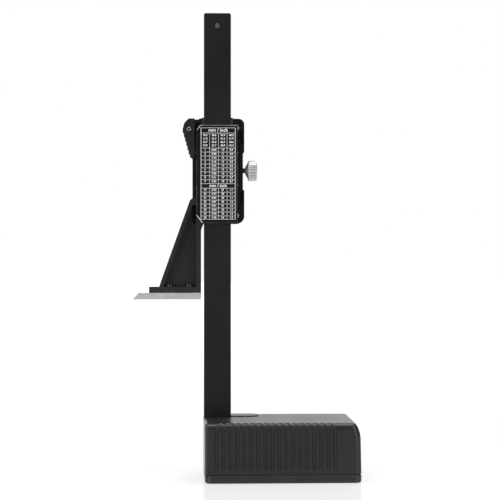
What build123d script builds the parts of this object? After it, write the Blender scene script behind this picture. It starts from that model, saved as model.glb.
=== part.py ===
import math
import os

from build123d import *

# Digital height gauge with a 150 mm range: a weighted base, an upright column and a
# slider that carries the scriber at the rear left and the display at the front.
#
# Frame, in millimetres: the origin is the centre of the sole's underside, +Z is up,
# +X runs from the column towards the base's free end, and +Y faces the display side.
# The slider is drawn with the scriber 104.3 mm above the surface plate.

# ------------------------------------------------------------------ driving sizes
# Shared clearances
tiny = 0.01                    # tolerance used when picking edges by position
seat_gap = 0.05                # between a fastener or plug and its hole
part_gap = 0.3                 # between neighbours that never touch
slide_fit = 0.08               # running gap between the column and the slider
cut_over = 2.0                 # how far a cutter runs past the face it opens

# Base
base_length = 90.0
base_width = 60.0
base_height = 34.5
sole_thickness = 4.8
sole_corner_radius = 4.0
sole_edge_radius = 1.3
sole_top_chamfer = 0.4
seam_height = 0.5              # shadow groove between the sole and the cover
seam_depth = 0.6
cover_wall = 2.6
cover_roof = 3.2
free_end_lean = 0.4            # the free end leans in by this much at its top
free_end_radius = 16.0         # the free end curves over into the roof
free_end_straight = 24.6       # height where that curve starts
free_end_edge_radius = 2.0     # softened edge where it meets the roof
long_edge_radius = 3.8
column_end_radius = 1.8
pad_height = 0.5               # low pad on the roof, in front of the column
pad_length = 33.0
pad_margin = 4.5               # from the display-side face of the base
pad_corner_radius = 6.0
pad_clearance = 0.4
flute_pitch = 4.0
flute_radius = 1.0
flute_foot = 8.2               # height of the flutes' lower ends
flute_margin_column_end = 6.5
flute_margin_free_end = 15.5
boss_radius = 3.5
boss_inset_x = 18.0            # bosses, in from the base's ends and sides
boss_inset_y = 8.5
boss_pilot_depth = 12.0

# Base fasteners
sole_screw_radius = 1.5
sole_screw_head = 2.9
sole_screw_head_height = 1.7
sole_screw_length = 14.0
column_screw_radius = 2.0
column_screw_head = 3.5
column_screw_head_height = 4.0
column_screw_socket = 1.6
column_screw_socket_floor = 1.5
column_screw_length = 26.0
column_screw_low = 12.0        # heights above the surface plate
column_screw_high = 23.0

# Column
column_width = 16.0
column_thickness = 4.0
column_top = 274.0
column_rear = 7.0              # y of the column's rear face
column_corner_radius = 1.2
column_edge_chamfer = 0.25
scale_width = 11.0
scale_groove_depth = 0.8
scale_board = 0.6
scale_film_thickness = 0.12
scale_foot = 38.0
scale_top_drop = 13.0          # below the column's top
stop_drop = 7.6                # below the column's top
stop_pin_radius = 0.9
stop_head_radius = 1.25
stop_head_height = 0.5
stop_front_reach = 1.2

# Slider carriage
slider_bottom = 149.1
slider_height = 62.3
left_overhang = 6.7            # past the column's left edge
right_overhang = 7.9           # past the column's right edge
top_right_radius = 3.5
bottom_right_radius = 4.6
left_corner_radius = 0.5
carriage_front_wall = 2.9
guide_thickness = 1.34
gib_thickness = 1.12
strip_rear_gap = 0.2
strip_front_gap = 0.1
strip_proud = 0.6              # the strips stand above the carriage by this much
notch_depth = 0.8
notch_low = 20.4               # heights above the slider's bottom
notch_high = 41.7
gib_screw_radius = 1.2
gib_screw_length = 4.0
gib_screw_low = 15.9
gib_screw_drop = 10.9          # below the slider's top
gib_slot_width = 1.2
gib_slot_height = 7.0
gib_slot_from_right = 1.1      # wall left between a slot and the right-hand face
sensor_width = 11.0
sensor_low = 22.0
sensor_drop = 6.3

# Back cover and label
cover_left = 4.5               # past the column's left edge
cover_right = 3.9              # past the column's right edge
cover_low = 0.4                # above the slider's bottom
cover_drop = 3.8               # below the slider's top
cover_thickness = 1.6
cover_edge_chamfer = 0.4
cover_top_cut_width = 2.4      # cut corners
cover_top_cut_height = 3.0
cover_bottom_cut_width = 3.4
cover_bottom_cut_height = 4.7
label_left = 2.0
label_right = 2.7
label_low = 2.5
label_drop = 5.4
label_thickness = 0.2

# Slider fasteners
slider_screw_radius = 0.8
slider_screw_head = 1.4
slider_screw_head_height = 0.8
slider_screw_from_left = 3.5   # from the slider's left face
slider_screw_from_right = 4.5  # from the slider's right face
housing_screw_left_low = 21.4
housing_screw_left_drop = 3.0  # below the lever's recess
housing_screw_right_low = 4.9
housing_screw_right_drop = 5.4
housing_screw_grip = 4.0
cover_screw_right_low = 23.0
cover_screw_right_high = 42.0
cover_screw_bite = 1.0
bracket_screw_low = 4.0
bracket_screw_high = 12.0
bracket_screw_length = 6.0

# Lock screw
lock_height = 31.6             # above the slider's bottom
lock_axis_y = 9.3
lock_thread_radius = 1.5
bush_radius = 2.1
bush_length = 4.4
pad_plug_length = 1.95
pad_plug_gap = 0.3             # open gap between the plug and the gib strip
lock_neck_reach = 1.3          # bare neck between the notch and the cone
lock_cone_length = 1.7
lock_cone_small = 1.8
lock_cone_large = 4.9
knob_radius = 6.1
knob_length = 5.2
knob_chamfer = 0.5
knurl_count = 24
knurl_side = 0.7               # square cutter, turned corner inwards

# Brake lever
lever_pin_left = 8.9           # left of the column's left edge
lever_pin_drop = 6.1           # below the slider's top
lever_pin_radius = 1.2
lever_pin_bore = 0.65
lever_pin_bore_depth = 2.4
lever_width = 7.4
lever_cheek = 1.8
lever_thumb_wall = 1.2
lever_pin_recess = 1.95
lever_pin_recess_depth = 0.5
lever_tail_round = 1.3
lever_hip = 3.7                # widest point, left of the pin
lever_face = 3.3               # straight right-hand edge, right of the pin
lever_hip_drop = 1.5           # the thumb face starts this far below the pin
lever_tail = 17.5              # below the pin
lever_tail_width = 2.9
lever_crown = 6.1              # above the pin
lever_crown_flat = 3.4
lever_crown_radius = 2.0
lever_shoulder_run = 0.9
lever_shoulder_rise = 3.3
serration_count = 6
serration_start = 1.6
serration_radius = 0.8
serration_pitch = 2.6
serration_depth = 0.4
lever_zone_gap = 0.8           # the carriage is set back from here up, below the tail
lever_wall = 1.58
lug_radius = 2.1
lug_thickness = 3.4
nose_drop = 9.1                # the brake nose, below the pin
nose_height = 3.0
nose_thickness = 1.3
nose_rear_shift = 0.5
nose_gap = 0.65
nose_window_side = 0.3
nose_window_rise = 0.7
spring_thickness = 0.3
spring_width = 1.1
spring_root_depth = 2.5
spring_root_right = 4.7        # right of the pin
spring_rise = 10.0
spring_lean = 4.0
spring_straight = 2.6

# Scriber bracket and scriber
bracket_depth = 7.0
bracket_web = 2.0
bracket_rib_right = 1.7        # left of the column's left edge
bracket_rib = 2.9
bracket_top = 15.4             # above the slider's bottom
bracket_bridge = 4.0
bracket_shoulder = 1.4
bracket_shoulder_run = 1.6
bracket_gusset = 3.7
bracket_slant_foot = 26.6      # left of the column's left edge
bracket_slant_top = 8.3
bracket_slant_rib = 2.5
bracket_foot_left = 32.5
bracket_foot = 3.6
bracket_foot_drop = 40.9       # foot's underside, below the slider's bottom
bracket_pocket_radius = 1.2
scriber_left = 42.5
scriber_thickness = 3.9
scriber_width = 8.0
scriber_bevel = 3.85
scriber_screw_radius = 1.4
scriber_screw_head = 2.2
scriber_screw_head_height = 1.5
scriber_screw_bite = 3.2
scriber_screw_far = 20.3       # left of the column's left edge
scriber_screw_near = 8.8

# Display housing and what it holds
housing_depth = 8.6
housing_wall = 1.6
housing_front_edge = 1.2
housing_lever_floor = 1.2
post_radius = 1.5
display_mid = 8.5              # right of the column's left edge
lcd_drop = 7.4                 # below the slider's top
lcd_width = 25.0
lcd_height = 14.0
lcd_thickness = 1.6
view_width = 22.6
view_height = 11.6
window_width = 24.6
window_height = 13.6
window_thickness = 0.8
window_gap = 0.05
window_corner_radius = 1.0
rubber_width = 2.0
rubber_length = 20.0
board_width = 18.0
board_thickness = 1.0
board_low = 19.4
board_drop = 3.3
dome_radius = 2.4
dome_height = 0.4
button_pitch = 7.5
button_rise = 1.55             # above the middle between the door and the display
button_radius = 2.8
button_flange_radius = 3.3
button_flange = 0.8
button_proud = 0.8
button_stem_radius = 1.0
button_travel = 0.6
button_gap = 0.1
cell_height = 9.4              # battery centre above the slider's bottom
cell_radius = 5.8
cell_thickness = 5.4
cell_gap = 0.3
cell_edge = 0.3
contact_thickness = 0.3
contact_width = 6.0
door_width = 16.0
door_height = 18.0
door_thickness = 1.3
door_tongue = 0.7
door_tongue_thickness = 0.6
door_gap = 0.1
door_floor = 1.6
door_grip_count = 4
door_grip_pitch = 1.6
door_grip_radius = 0.4

# ------------------------------------------------------------------ worked-out places
base_left = -base_length / 2
base_right = base_length / 2
cover_foot = sole_thickness + seam_height
roof_inside = base_height - cover_roof
free_end_top = base_right - free_end_lean
end_inside = free_end_top - cover_wall
end_arc_x = free_end_top - free_end_radius
roof_end = end_arc_x + math.sqrt(
    free_end_radius**2 - (base_height - free_end_straight) ** 2
)
roof_inside_end = end_arc_x + math.sqrt(
    (free_end_radius - cover_wall) ** 2 - (roof_inside - free_end_straight) ** 2
)
boss_spacing_x = base_length - 2 * boss_inset_x
boss_spacing_y = base_width - 2 * boss_inset_y

column_left = base_left
column_right = column_left + column_width
column_mid = (column_left + column_right) / 2
column_front = column_rear + column_thickness
pad_width = base_width / 2 - pad_margin - column_front - pad_clearance
scale_top = column_top - scale_top_drop
stop_height = column_top - stop_drop

slider_left = column_left - left_overhang
slider_right = column_right + right_overhang
slider_top = slider_bottom + slider_height
left_wall_inner = column_left - slide_fit - guide_thickness
right_wall_inner = column_right + slide_fit + gib_thickness + seat_gap
carriage_rear = column_rear - slide_fit
channel_front = column_front + slide_fit
carriage_front = channel_front + carriage_front_wall
recess_x = left_wall_inner - lever_wall
bracket_top_z = slider_bottom + bracket_top
strip_rear = column_rear + strip_rear_gap
strip_front = column_front - strip_front_gap
strip_mid = (strip_rear + strip_front) / 2
notch_x = slider_right - notch_depth

pin_x = column_left - lever_pin_left
pin_z = slider_top - lever_pin_drop
lever_low = pin_z - lever_tail
lever_zone = lever_low - lever_zone_gap
lever_rear = strip_mid - lever_width / 2
lever_front = strip_mid + lever_width / 2
nose_y = strip_mid - nose_rear_shift
nose_z = pin_z - nose_drop
nose_window = (nose_thickness + 2 * nose_window_side, nose_height + 2 * nose_window_rise)
lock_z = slider_bottom + lock_height

foot_low = slider_bottom - bracket_foot_drop
foot_high = foot_low + bracket_foot
rib_right = column_left - bracket_rib_right
rib_left = rib_right - bracket_rib
bracket_front = carriage_rear + bracket_depth
scriber_screw_xs = [column_left - scriber_screw_far, column_left - scriber_screw_near]
scriber_screw_y = carriage_rear + (bracket_depth - bracket_web) / 2

housing_front = carriage_front + housing_depth
housing_inner = housing_front - housing_wall
display_x = column_left + display_mid
lcd_mid_z = slider_top - lcd_drop - lcd_height / 2
button_xs = [display_x + step * button_pitch for step in (-1, 0, 1)]
cell_z = slider_bottom + cell_height
cell_rear = carriage_front + board_thickness + contact_thickness + seat_gap
door_rear = housing_front - door_thickness
door_top = slider_bottom + door_height
button_z = (door_top + lcd_mid_z - lcd_height / 2) / 2 + button_rise

from_below = (180, 0, 0)       # turns local +Z to -Z, and so on
from_rear = (90, 0, 0)
from_front = (-90, 0, 0)
from_right = (0, 90, 0)
hang = (Align.CENTER, Align.CENTER, Align.MAX)
stand = (Align.CENTER, Align.CENTER, Align.MIN)


# ------------------------------------------------------------------ helpers
def plane_at_y(y):
    """Upright plane at depth y: local x is +X, local y is +Z, and extrusions run to -Y."""
    return Plane(origin=(0, y, 0), x_dir=(1, 0, 0), z_dir=(0, -1, 0))


def plane_at_x(x):
    """Upright plane at x: local x is +Y, local y is +Z, and extrusions run to +X."""
    return Plane(origin=(x, 0, 0), x_dir=(0, 1, 0), z_dir=(1, 0, 0))


def box_between(low_x, high_x, low_y, high_y, mode=Mode.ADD):
    """Adds or cuts a rectangle between two corners of the open sketch."""
    with Locations(((low_x + high_x) / 2, (low_y + high_y) / 2)):
        Rectangle(high_x - low_x, high_y - low_y, mode=mode)


def flush_screw(radius, head, head_height, length):
    """Adds a countersunk screw that points along local -Z, with its head flush at 0."""
    Cone(radius, head, head_height, align=hang)
    Cylinder(radius, length, align=hang)


def flush_screw_hole(radius, head, head_height, length):
    """Cuts the hole of a flush screw, with the seat gap all round its shank."""
    Cone(radius + seat_gap, head + seat_gap, head_height, align=hang, mode=Mode.SUBTRACT)
    Cylinder(radius + seat_gap, length, align=hang, mode=Mode.SUBTRACT)


def slider_outline():
    """Adds the outline that the carriage and the display housing share."""
    Polygon(
        (slider_left, slider_bottom),
        (slider_right, slider_bottom),
        (slider_right, slider_bottom + notch_low - notch_depth),
        (notch_x, slider_bottom + notch_low),
        (notch_x, slider_bottom + notch_high),
        (slider_right, slider_bottom + notch_high + notch_depth),
        (slider_right, slider_top),
        (slider_left, slider_top),
        align=None,
    )
    fillet(vertices().group_by(Axis.Y)[-1].sort_by(Axis.X)[-1], radius=top_right_radius)
    fillet(vertices().group_by(Axis.Y)[0].sort_by(Axis.X)[-1], radius=bottom_right_radius)
    fillet(vertices().group_by(Axis.X)[0], radius=left_corner_radius)


# ------------------------------------------------------------------ base
# The cover is a moulded shell. Its long sides carry half-round flutes that run out
# on the top fillet, and its column end is slotted for the column.
flute_count = int((base_length - flute_margin_column_end - flute_margin_free_end) / flute_pitch) + 1
flute_mid_x = base_left + flute_margin_column_end + (flute_count - 1) * flute_pitch / 2

with BuildPart() as base_cover:
    with BuildSketch(plane_at_y(base_width / 2)):
        with BuildLine():
            Polyline(
                (roof_end, base_height),
                (base_left, base_height),
                (base_left, cover_foot),
                (base_right, cover_foot),
                (free_end_top, free_end_straight),
            )
            RadiusArc(
                (free_end_top, free_end_straight), (roof_end, base_height), -free_end_radius
            )
        make_face()
        fillet(
            vertices().group_by(Axis.Y)[-1].sort_by(Axis.X)[-1], radius=free_end_edge_radius
        )
    extrude(amount=base_width)
    long_rims = faces().filter_by(Axis.Y).edges().filter_by(
        lambda edge: edge.center().Z > cover_foot + tiny and edge.center().X > base_left + tiny
    )
    fillet(long_rims, radius=long_edge_radius)
    column_end_rim = faces().sort_by(Axis.X)[0].edges().filter_by(
        lambda edge: edge.center().Z > cover_foot + tiny
    )
    fillet(column_end_rim, radius=column_end_radius)
    with BuildSketch(Plane.XY.offset(sole_thickness)):
        RectangleRounded(
            base_length - 2 * seam_depth,
            base_width - 2 * seam_depth,
            sole_corner_radius - seam_depth,
        )
    extrude(amount=seam_height)
    with BuildSketch(plane_at_y(base_width / 2 - cover_wall)):
        with BuildLine():
            Polyline(
                (roof_inside_end, roof_inside),
                (base_left + cover_wall, roof_inside),
                (base_left + cover_wall, sole_thickness),
                (end_inside, sole_thickness),
                (end_inside, free_end_straight),
            )
            RadiusArc(
                (end_inside, free_end_straight),
                (roof_inside_end, roof_inside),
                cover_wall - free_end_radius,
            )
        make_face()
    extrude(amount=base_width - 2 * cover_wall, mode=Mode.SUBTRACT)
    with BuildSketch(Plane.XY.offset(sole_thickness)):
        with GridLocations(boss_spacing_x, boss_spacing_y, 2, 2):
            Circle(boss_radius)
    extrude(amount=roof_inside - sole_thickness)
    with BuildSketch(Plane.XY.offset(sole_thickness)):
        with GridLocations(boss_spacing_x, boss_spacing_y, 2, 2):
            Circle(sole_screw_radius + seat_gap)
    extrude(amount=boss_pilot_depth, mode=Mode.SUBTRACT)
    with BuildSketch(Plane.XY.offset(base_height)):
        box_between(
            base_left + column_end_radius,
            base_left + pad_length,
            column_front + pad_clearance,
            column_front + pad_clearance + pad_width,
        )
        fillet(
            vertices().group_by(Axis.X)[-1],
            radius=min(pad_corner_radius, pad_width / 2 - tiny),
        )
    extrude(amount=pad_height)
    with BuildSketch(Plane.XY.offset(sole_thickness)):
        box_between(
            base_left - cut_over,
            column_right + seat_gap,
            column_rear - seat_gap,
            column_front + seat_gap,
        )
    extrude(amount=base_height, mode=Mode.SUBTRACT)
    with BuildSketch(Plane.XY.offset(flute_foot)):
        with Locations((flute_mid_x, 0)):
            with GridLocations(flute_pitch, base_width, flute_count, 2):
                Circle(flute_radius)
    extrude(amount=base_height, mode=Mode.SUBTRACT)

with BuildPart() as sole_plate:
    with BuildSketch():
        RectangleRounded(base_length, base_width, sole_corner_radius)
    extrude(amount=sole_thickness)
    fillet(faces().sort_by(Axis.Z)[0].edges(), radius=sole_edge_radius)
    chamfer(faces().sort_by(Axis.Z)[-1].edges(), length=sole_top_chamfer)
    with GridLocations(boss_spacing_x, boss_spacing_y, 2, 2):
        with Locations(Location((0, 0, 0), from_below)):
            flush_screw_hole(
                sole_screw_radius, sole_screw_head, sole_screw_head_height, sole_thickness + cut_over
            )

with BuildPart() as sole_screws:
    with GridLocations(boss_spacing_x, boss_spacing_y, 2, 2):
        with Locations(Location((0, 0, 0), from_below)):
            flush_screw(sole_screw_radius, sole_screw_head, sole_screw_head_height, sole_screw_length)

# The ballast fills the cover and clamps the column's foot in a slot.
ballast_left = base_left + cover_wall + part_gap
ballast_right = end_inside - part_gap
ballast_half_width = base_width / 2 - cover_wall - part_gap
ballast_top = roof_inside - part_gap
column_screw_seat = ballast_half_width - column_screw_head_height
column_screw_spots = [(column_mid, column_screw_low), (column_mid, column_screw_high)]

with BuildPart() as ballast_block:
    with BuildSketch(Plane.XY.offset(sole_thickness)):
        box_between(ballast_left, ballast_right, -ballast_half_width, ballast_half_width)
        with GridLocations(boss_spacing_x, boss_spacing_y, 2, 2):
            Circle(boss_radius + part_gap, mode=Mode.SUBTRACT)
        box_between(
            ballast_left - cut_over,
            column_right + seat_gap,
            column_rear - seat_gap,
            column_front + seat_gap,
            mode=Mode.SUBTRACT,
        )
    extrude(amount=ballast_top - sole_thickness)
    chamfer(
        faces().sort_by(Axis.Z)[-1].edges().filter_by(Axis.Y).sort_by(Axis.X)[-1],
        length=ballast_top - free_end_straight,
    )
    with BuildSketch(plane_at_y(ballast_half_width)):
        with Locations(*column_screw_spots):
            Circle(column_screw_head + seat_gap)
    extrude(amount=column_screw_head_height, mode=Mode.SUBTRACT)
    with BuildSketch(plane_at_y(column_screw_seat)):
        with Locations(*column_screw_spots):
            Circle(column_screw_radius + seat_gap)
    extrude(amount=column_screw_length, mode=Mode.SUBTRACT)

with BuildPart() as column_screws:
    with BuildSketch(plane_at_y(ballast_half_width)):
        with Locations(*column_screw_spots):
            Circle(column_screw_head)
            RegularPolygon(column_screw_socket, 6, mode=Mode.SUBTRACT)
    extrude(amount=column_screw_head_height)
    with BuildSketch(plane_at_y(column_screw_seat + column_screw_socket_floor)):
        with Locations(*column_screw_spots):
            Circle(column_screw_radius)
    extrude(amount=column_screw_length + column_screw_socket_floor - seat_gap)

# ------------------------------------------------------------------ column
with BuildPart() as column:
    with BuildSketch(plane_at_y(column_front)):
        box_between(column_left, column_right, sole_thickness, column_top)
        fillet(vertices().group_by(Axis.Y)[-1], radius=column_corner_radius)
    extrude(amount=column_thickness)
    column_rims = faces().filter_by(Axis.Y).edges().filter_by(
        lambda edge: edge.center().Z > sole_thickness + tiny
    )
    chamfer(column_rims, length=column_edge_chamfer)
    with BuildSketch(plane_at_y(column_front)):
        box_between(
            column_mid - scale_width / 2, column_mid + scale_width / 2, scale_foot, scale_top
        )
    extrude(amount=scale_groove_depth, mode=Mode.SUBTRACT)
    with BuildSketch(plane_at_y(column_front)):
        with Locations(*column_screw_spots):
            Circle(column_screw_radius + 2 * seat_gap)
        with Locations((column_mid, stop_height)):
            Circle(stop_pin_radius + seat_gap)
    extrude(amount=column_thickness, mode=Mode.SUBTRACT)

with BuildPart() as scale_strip:
    with BuildSketch(plane_at_y(column_front - scale_groove_depth + scale_board)):
        box_between(
            column_mid - scale_width / 2 + seat_gap,
            column_mid + scale_width / 2 - seat_gap,
            scale_foot + seat_gap,
            scale_top - seat_gap,
        )
    extrude(amount=scale_board)

with BuildPart() as scale_film:
    with BuildSketch(
        plane_at_y(column_front - scale_groove_depth + scale_board + scale_film_thickness)
    ):
        box_between(
            column_mid - scale_width / 2 + seat_gap,
            column_mid + scale_width / 2 - seat_gap,
            scale_foot + seat_gap,
            scale_top - seat_gap,
        )
    extrude(amount=scale_film_thickness)

with BuildPart() as end_stop_screw:
    with BuildSketch(plane_at_y(column_front + stop_front_reach)):
        with Locations((column_mid, stop_height)):
            Circle(stop_pin_radius)
    extrude(amount=column_thickness + stop_front_reach)
    with BuildSketch(plane_at_y(column_rear)):
        with Locations((column_mid, stop_height)):
            Circle(stop_head_radius)
    extrude(amount=stop_head_height)
    chamfer(faces().sort_by(Axis.Y)[0].edges(), length=stop_head_height / 2)

# ------------------------------------------------------------------ slider carriage
left_screw_x = slider_left + slider_screw_from_left
right_screw_x = slider_right - slider_screw_from_right
left_screw_low = slider_bottom + housing_screw_left_low
left_screw_high = lever_zone - housing_screw_left_drop
housing_screw_spots = [
    (left_screw_x, left_screw_low),
    (left_screw_x, left_screw_high),
    (right_screw_x, slider_bottom + housing_screw_right_low),
    (right_screw_x, slider_top - housing_screw_right_drop),
]
cover_screw_spots = [
    (left_screw_x, (left_screw_low + left_screw_high) / 2),
    (right_screw_x, slider_bottom + cover_screw_right_low),
    (right_screw_x, slider_bottom + cover_screw_right_high),
]
bracket_screw_spots = [
    ((rib_left + left_wall_inner) / 2, slider_bottom + height)
    for height in (bracket_screw_low, bracket_screw_high)
]
gib_screw_heights = [slider_bottom + gib_screw_low, slider_top - gib_screw_drop]
housing_screw_length = carriage_front - carriage_rear + housing_screw_grip
cover_screw_length = carriage_front - carriage_rear + cover_screw_bite


def rear_spots(spots, y):
    """Locations on a rear-facing surface at depth y, with local -Z running into it."""
    return [Location((x, y, z), from_rear) for x, z in spots]


def front_spots(spots, y):
    """Locations on a front-facing surface at depth y, with local -Z running into it."""
    return [Location((x, y, z), from_front) for x, z in spots]


with BuildPart() as carriage:
    with BuildSketch(plane_at_y(carriage_front)):
        slider_outline()
        box_between(
            slider_left - cut_over, recess_x, lever_zone, slider_top + cut_over, mode=Mode.SUBTRACT
        )
        box_between(
            column_mid - sensor_width / 2,
            column_mid + sensor_width / 2,
            slider_bottom + sensor_low,
            slider_top - sensor_drop,
            mode=Mode.SUBTRACT,
        )
    extrude(amount=carriage_front_wall)
    with BuildSketch(plane_at_y(channel_front)):
        slider_outline()
        box_between(
            left_wall_inner,
            right_wall_inner,
            slider_bottom - cut_over,
            slider_top + cut_over,
            mode=Mode.SUBTRACT,
        )
        box_between(
            slider_left - cut_over, recess_x, lever_zone, slider_top + cut_over, mode=Mode.SUBTRACT
        )
        box_between(
            slider_left - cut_over,
            left_wall_inner,
            slider_bottom - cut_over,
            bracket_top_z,
            mode=Mode.SUBTRACT,
        )
    extrude(amount=channel_front - carriage_rear)
    # lug for the lever's pin
    with BuildSketch(plane_at_y(strip_mid + lug_thickness / 2)):
        with Locations((pin_x, pin_z)):
            Circle(lug_radius)
        box_between(pin_x, recess_x, pin_z - lug_radius, pin_z + lug_radius)
    extrude(amount=lug_thickness)
    with BuildSketch(plane_at_y(carriage_front)):
        with Locations((pin_x, pin_z)):
            Circle(lever_pin_radius + seat_gap / 2)
    extrude(amount=carriage_front - carriage_rear, mode=Mode.SUBTRACT)
    # window for the brake nose, and slit for the lever's spring
    with BuildSketch(plane_at_x(recess_x)):
        with Locations((nose_y, nose_z)):
            Rectangle(*nose_window)
    extrude(amount=lever_wall, mode=Mode.SUBTRACT)
    with BuildSketch(Plane.XY.offset(lever_zone)):
        box_between(
            pin_x + spring_root_right,
            pin_x + spring_root_right + spring_thickness,
            strip_mid + lug_thickness / 2 - spring_width,
            strip_mid + lug_thickness / 2,
        )
    extrude(amount=-spring_root_depth, mode=Mode.SUBTRACT)
    # gib screws: tapped holes from the right, and the slots that open on the rear
    with Locations(*[Location((slider_right, strip_mid, z), from_right) for z in gib_screw_heights]):
        Cylinder(
            gib_screw_radius + seat_gap,
            slider_right - right_wall_inner,
            align=hang,
            mode=Mode.SUBTRACT,
        )
    with BuildSketch(plane_at_y(channel_front)):
        with Locations(
            *[
                (slider_right - gib_slot_from_right - gib_slot_width / 2, z)
                for z in gib_screw_heights
            ]
        ):
            SlotOverall(gib_slot_height, gib_slot_width, rotation=90)
    extrude(amount=channel_front - carriage_rear, mode=Mode.SUBTRACT)
    # lock screw: seat of the bush, and bore of the plug behind it
    with Locations(Location((notch_x, lock_axis_y, lock_z), from_right)):
        Cylinder(bush_radius + tiny, bush_length, align=hang, mode=Mode.SUBTRACT)
        Cylinder(
            lock_thread_radius + seat_gap, notch_x - right_wall_inner, align=hang, mode=Mode.SUBTRACT
        )
    with Locations(*rear_spots(housing_screw_spots, carriage_rear)):
        flush_screw_hole(
            slider_screw_radius, slider_screw_head, slider_screw_head_height, housing_screw_length
        )
    with Locations(*front_spots(cover_screw_spots, carriage_front)):
        flush_screw_hole(
            slider_screw_radius, slider_screw_head, slider_screw_head_height, cover_screw_length
        )
    with Locations(*rear_spots(bracket_screw_spots, carriage_rear)):
        Cylinder(
            slider_screw_radius + seat_gap, bracket_screw_length, align=hang, mode=Mode.SUBTRACT
        )

with BuildPart() as guide_strip:
    with BuildSketch(Plane.XY.offset(slider_bottom)):
        box_between(left_wall_inner, column_left - slide_fit, strip_rear, strip_front)
    extrude(amount=slider_height + strip_proud)
    with BuildSketch(plane_at_x(left_wall_inner)):
        with Locations((nose_y, nose_z)):
            Rectangle(*nose_window)
    extrude(amount=guide_thickness, mode=Mode.SUBTRACT)

with BuildPart() as gib_strip:
    with BuildSketch(Plane.XY.offset(slider_bottom)):
        box_between(
            column_right + slide_fit, right_wall_inner - seat_gap, strip_rear, strip_front
        )
    extrude(amount=slider_height + strip_proud)

with BuildPart() as gib_screws:
    with Locations(
        *[Location((right_wall_inner - seat_gap, strip_mid, z), from_right) for z in gib_screw_heights]
    ):
        Cylinder(gib_screw_radius, gib_screw_length, align=stand)
    with Locations(
        *[
            Location((right_wall_inner - seat_gap + gib_screw_length, strip_mid, z), from_right)
            for z in gib_screw_heights
        ]
    ):
        Box(gib_screw_radius / 3, 3 * gib_screw_radius, gib_screw_radius, mode=Mode.SUBTRACT)

with BuildPart() as back_cover:
    cover_x0 = column_left - cover_left
    cover_x1 = column_right + cover_right
    cover_z0 = slider_bottom + cover_low
    cover_z1 = slider_top - cover_drop
    with BuildSketch(plane_at_y(carriage_rear)):
        with BuildLine():
            Polyline(
                (cover_x0 + cover_bottom_cut_width, cover_z0),
                (cover_x1, cover_z0),
                (cover_x1, cover_z1),
                (cover_x0 + cover_top_cut_width, cover_z1),
                (cover_x0, cover_z1 - cover_top_cut_height),
                (cover_x0, cover_z0 + cover_bottom_cut_height),
                close=True,
            )
        make_face()
    extrude(amount=cover_thickness)
    chamfer(faces().sort_by(Axis.Y)[0].edges(), length=cover_edge_chamfer)
    with Locations(*front_spots(cover_screw_spots, carriage_rear)):
        Cylinder(
            slider_screw_radius + seat_gap,
            cover_screw_bite + seat_gap,
            align=hang,
            mode=Mode.SUBTRACT,
        )

with BuildPart() as back_cover_screws:
    with Locations(*front_spots(cover_screw_spots, carriage_front)):
        flush_screw(
            slider_screw_radius, slider_screw_head, slider_screw_head_height, cover_screw_length
        )

with BuildPart() as thread_table_label:
    with BuildSketch(plane_at_y(carriage_rear - cover_thickness)):
        box_between(
            column_left - label_left,
            column_right + label_right,
            slider_bottom + label_low,
            slider_top - label_drop,
        )
    extrude(amount=label_thickness)

with BuildPart() as housing_screws:
    with Locations(*rear_spots(housing_screw_spots, carriage_rear)):
        flush_screw(
            slider_screw_radius, slider_screw_head, slider_screw_head_height, housing_screw_length
        )

# ------------------------------------------------------------------ lock screw
with BuildPart() as lock_bush:
    with Locations(Location((notch_x, lock_axis_y, lock_z), from_right)):
        Cylinder(bush_radius, bush_length, align=hang)
        Cylinder(lock_thread_radius + seat_gap, bush_length, align=hang, mode=Mode.SUBTRACT)

plug_left = right_wall_inner - seat_gap + pad_plug_gap
screw_tip = plug_left + pad_plug_length + seat_gap

with BuildPart() as lock_plug:
    with Locations(Location((plug_left, lock_axis_y, lock_z), from_right)):
        Cylinder(lock_thread_radius, pad_plug_length, align=stand)

cone_x = notch_x + lock_neck_reach
knob_x = cone_x + lock_cone_length
with BuildPart() as lock_screw:
    with BuildSketch(plane_at_y(lock_axis_y)):
        with BuildLine():
            Polyline(
                (screw_tip, lock_z),
                (screw_tip, lock_z + lock_thread_radius),
                (cone_x, lock_z + lock_thread_radius),
                (cone_x, lock_z + lock_cone_small),
                (knob_x, lock_z + lock_cone_large),
                (knob_x, lock_z + knob_radius - knob_chamfer),
                (knob_x + knob_chamfer, lock_z + knob_radius),
                (knob_x + knob_length - knob_chamfer, lock_z + knob_radius),
                (knob_x + knob_length, lock_z + knob_radius - knob_chamfer),
                (knob_x + knob_length, lock_z),
                close=True,
            )
        make_face()
    revolve(axis=Axis((0, lock_axis_y, lock_z), (1, 0, 0)))
    with BuildSketch(
        Plane(origin=(knob_x, lock_axis_y, lock_z), x_dir=(0, 1, 0), z_dir=(1, 0, 0))
    ):
        with PolarLocations(knob_radius, knurl_count):
            Rectangle(knurl_side, knurl_side, rotation=45)
    extrude(amount=knob_length, mode=Mode.SUBTRACT)

# ------------------------------------------------------------------ brake lever
# A thumb lever that straddles the carriage's lug and turns on a pin, bored at one end. Pressing
# its tail in swings the nose through the carriage wall onto the column's edge.
lever_left = pin_x - lever_hip
lever_right = pin_x + lever_face
lever_top = pin_z + lever_crown
crown_x = lever_left + lever_crown_flat
tail_x = lever_right - lever_tail_width
tail_z = lever_low + lever_tail_round
hip_z = pin_z - lever_hip_drop
thumb_run = Vector(tail_x - lever_left, tail_z - hip_z)
thumb_along = thumb_run.normalized()


def lever_outline():
    """Adds the lever's side view: a round crown, a long sloping thumb face and a tail."""
    Polygon(
        (lever_right, lever_low),
        (lever_right, lever_top),
        (crown_x, lever_top),
        (lever_left + lever_shoulder_run, pin_z + lever_shoulder_rise),
        (lever_left, pin_z),
        (lever_left, hip_z),
        (tail_x, tail_z),
        (tail_x + lever_tail_round, lever_low),
        align=None,
    )


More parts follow.
